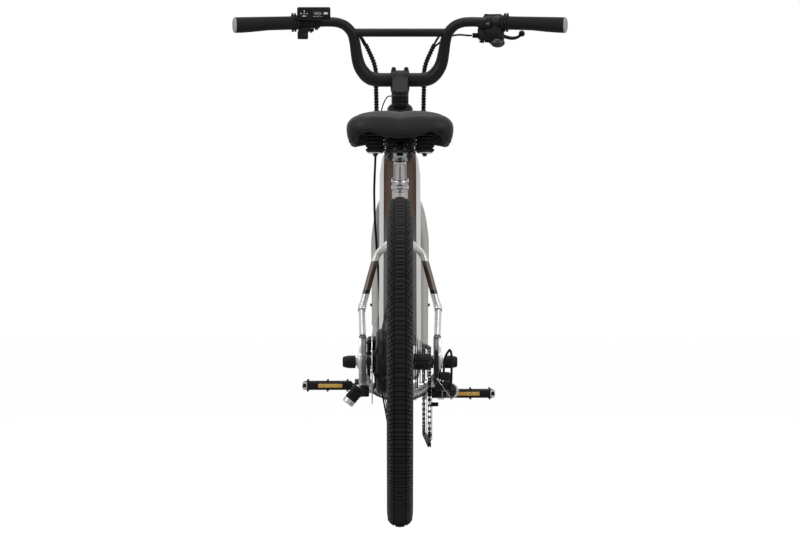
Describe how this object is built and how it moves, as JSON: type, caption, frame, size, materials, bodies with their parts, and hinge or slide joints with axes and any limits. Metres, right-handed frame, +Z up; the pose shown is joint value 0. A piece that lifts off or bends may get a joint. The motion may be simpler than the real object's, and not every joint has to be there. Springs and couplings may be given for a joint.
{
  "type": "electric cruiser bicycle",
  "caption": "Step-through electric cruiser bike with a high swept bar, sprung saddle, rear hub motor, disc brakes, derailleur gears and a battery inside the down tube.",
  "frame": {"origin": "on the ground, midway between the wheels and between the two grips", "axes": "+Z up, +Y the way the bike rides, +X to the rider's right (the chain side)"},
  "size_m": [0.7594, 1.85, 1.1399],
  "materials": {
    "silver_paint": "satin metallic silver paint",
    "fork_paint": "satin warm silver paint",
    "brown_paint": "satin dark brown paint",
    "black_paint": "satin black paint",
    "black_plastic": "fine-grained black plastic",
    "grip_rubber": "matt textured rubber",
    "tyre_rubber": "block tread",
    "saddle_skin": "black synthetic leather, fine grain",
    "foot_rubber": "ribbed rubber",
    "polished_metal": "polished",
    "brushed_metal": "brushed",
    "rotor_steel": "brushed",
    "dark_steel": "blackened",
    "cell_wrap": "wrapped battery cells",
    "cable_sheath": "matt outer sheath"
  },
  "bodies": {
    "frame": {"head_tube": "silver_paint", "down_tube": "silver_paint", "battery_cover": "brown_paint", "battery_pack": "cell_wrap", "controller": "brushed_metal", "seat_tube": "silver_paint", "chainstays": "silver_paint", "seatstays": "silver_paint", "seat_collar": "polished_metal", "bottom_bracket": "dark_steel", "lower_headset": "black_paint", "upper_headset": "black_paint", "rear_caliper": "black_paint", "rear_cables": "cable_sheath", "rear_axle": "brushed_metal", "axle_cap_left": "black_plastic", "axle_cap_right": "black_plastic", "derailleur": "dark_steel", "chain": "dark_steel"},
    "steering": {"fork": "fork_paint", "stem": "black_paint", "handlebar": "black_paint", "grip_left": "grip_rubber", "grip_right": "grip_rubber", "brake_perch_left": "black_paint", "brake_perch_right": "black_paint", "display_unit": "black_plastic", "throttle_housing": "black_plastic", "shifter_housing": "black_plastic", "front_caliper": "black_paint", "front_axle": "brushed_metal", "cables_left": "cable_sheath", "cables_right": "cable_sheath"},
    "front_wheel_set": {"front_wheel": "black_paint", "front_tyre": "tyre_rubber", "front_rotor": "rotor_steel"},
    "rear_wheel_set": {"rear_wheel": "black_paint", "rear_tyre": "tyre_rubber", "rear_rotor": "rotor_steel"},
    "cassette_set": {"cassette": "dark_steel"},
    "crankset": {"crank_right": "polished_metal", "crank_left": "black_paint", "chainring": "dark_steel"},
    "pedal_left_set": {"pedal_left": "black_plastic"},
    "pedal_right_set": {"pedal_right": "black_plastic"},
    "guide_pulley_set": {"guide_pulley": "black_plastic"},
    "tension_pulley_set": {"tension_pulley": "black_plastic"},
    "seatpost_set": {"seatpost": "polished_metal"},
    "saddle_set": {"saddle_rails": "dark_steel", "saddle_base": "black_plastic", "saddle_cushion": "saddle_skin", "saddle_springs": "black_plastic"},
    "kickstand_set": {"kickstand_leg": "brushed_metal", "kickstand_foot": "foot_rubber"},
    "brake_lever_left_set": {"brake_lever_left": "black_paint"},
    "brake_lever_right_set": {"brake_lever_right": "black_paint"},
    "keypad_set": {"display_keypad": "grip_rubber"},
    "throttle_set": {"throttle_lever": "black_plastic"},
    "shift_lever_set": {"shift_lever": "black_plastic"},
    "release_trigger_set": {"release_trigger": "black_plastic"}
  },
  "joints": [
    {"name": "steering_turn", "type": "hinge", "parent": "frame", "child": "steering", "pos_m": [0, 0.52848, 0.33167], "axis": [0, -0.3665, 0.9304], "range_deg": [-60, 60], "deforming": ["cables_left", "cables_right"]},
    {"name": "front_wheel_spin", "type": "hinge", "parent": "steering", "child": "front_wheel_set", "pos_m": [0, 0.575, 0.35], "axis": [1, 0, 0], "continuous": true},
    {"name": "rear_wheel_spin", "type": "hinge", "parent": "frame", "child": "rear_wheel_set", "pos_m": [0, -0.575, 0.35], "axis": [1, 0, 0], "continuous": true},
    {"name": "crank_spin", "type": "hinge", "parent": "frame", "child": "crankset", "pos_m": [0, -0.125, 0.282], "axis": [1, 0, 0], "continuous": true},
    {"name": "cassette_spin", "type": "hinge", "parent": "frame", "child": "cassette_set", "pos_m": [0, -0.575, 0.35], "axis": [1, 0, 0], "continuous": true},
    {"name": "guide_pulley_spin", "type": "hinge", "parent": "frame", "child": "guide_pulley_set", "pos_m": [0, -0.56, 0.283], "axis": [1, 0, 0], "continuous": true},
    {"name": "tension_pulley_spin", "type": "hinge", "parent": "frame", "child": "tension_pulley_set", "pos_m": [0, -0.54, 0.194], "axis": [1, 0, 0], "continuous": true},
    {"name": "pedal_left_spin", "type": "hinge", "parent": "crankset", "child": "pedal_left_set", "pos_m": [0, -0.29454, 0.29445], "axis": [1, 0, 0], "continuous": true},
    {"name": "pedal_right_spin", "type": "hinge", "parent": "crankset", "child": "pedal_right_set", "pos_m": [0, 0.04454, 0.26955], "axis": [1, 0, 0], "continuous": true},
    {"name": "seatpost_slide", "type": "slide", "parent": "frame", "child": "seatpost_set", "axis": [0, -0.3584, 0.9336], "range_m": [-0.03, 0.06]},
    {"name": "saddle_tilt", "type": "hinge", "parent": "seatpost_set", "child": "saddle_set", "pos_m": [0, -0.31995, 0.78987], "axis": [1, 0, 0], "range_deg": [-10, 10]},
    {"name": "kickstand_swing", "type": "hinge", "parent": "frame", "child": "kickstand_set", "pos_m": [-0.0925, -0.435, 0.287], "axis": [1, 0, 0], "range_deg": [0, 95]},
    {"name": "brake_lever_left_pull", "type": "hinge", "parent": "steering", "child": "brake_lever_left_set", "pos_m": [-0.20257, 0.34025, 1.10332], "axis": [0, 0, 1], "range_deg": [0, 18], "stiffness_Nm_per_rad": 0.6},
    {"name": "brake_lever_right_pull", "type": "hinge", "parent": "steering", "child": "brake_lever_right_set", "pos_m": [0.22182, 0.33531, 1.10277], "axis": [0, 0, -1], "range_deg": [0, 18], "stiffness_Nm_per_rad": 0.6},
    {"name": "keypad_press", "type": "slide", "parent": "steering", "child": "keypad_set", "axis": [0, 1, 0], "range_m": [0, 0.0012], "stiffness_N_per_m": 800},
    {"name": "throttle_push", "type": "hinge", "parent": "steering", "child": "throttle_set", "pos_m": [-0.22, 0.28983, 1.1065], "axis": [0.9682, 0.2486, 0.0279], "range_deg": [0, 35], "stiffness_Nm_per_rad": 0.15},
    {"name": "shift_lever_push", "type": "hinge", "parent": "steering", "child": "shift_lever_set", "pos_m": [0.20012, 0.30268, 1.06574], "axis": [0, 0, 1], "range_deg": [0, 30], "stiffness_Nm_per_rad": 0.15},
    {"name": "release_trigger_pull", "type": "hinge", "parent": "steering", "child": "release_trigger_set", "pos_m": [0.18612, 0.31318, 1.06574], "axis": [0, 0, -1], "range_deg": [0, 18], "stiffness_Nm_per_rad": 0.1}
  ],
  "couplings": [
    {"joint": "cassette_spin", "follows": "crank_spin", "ratio": 3.4286},
    {"joint": "tension_pulley_spin", "follows": "crank_spin", "ratio": 4.3636},
    {"joint": "guide_pulley_spin", "follows": "crank_spin", "ratio": -4.3636}
  ]
}
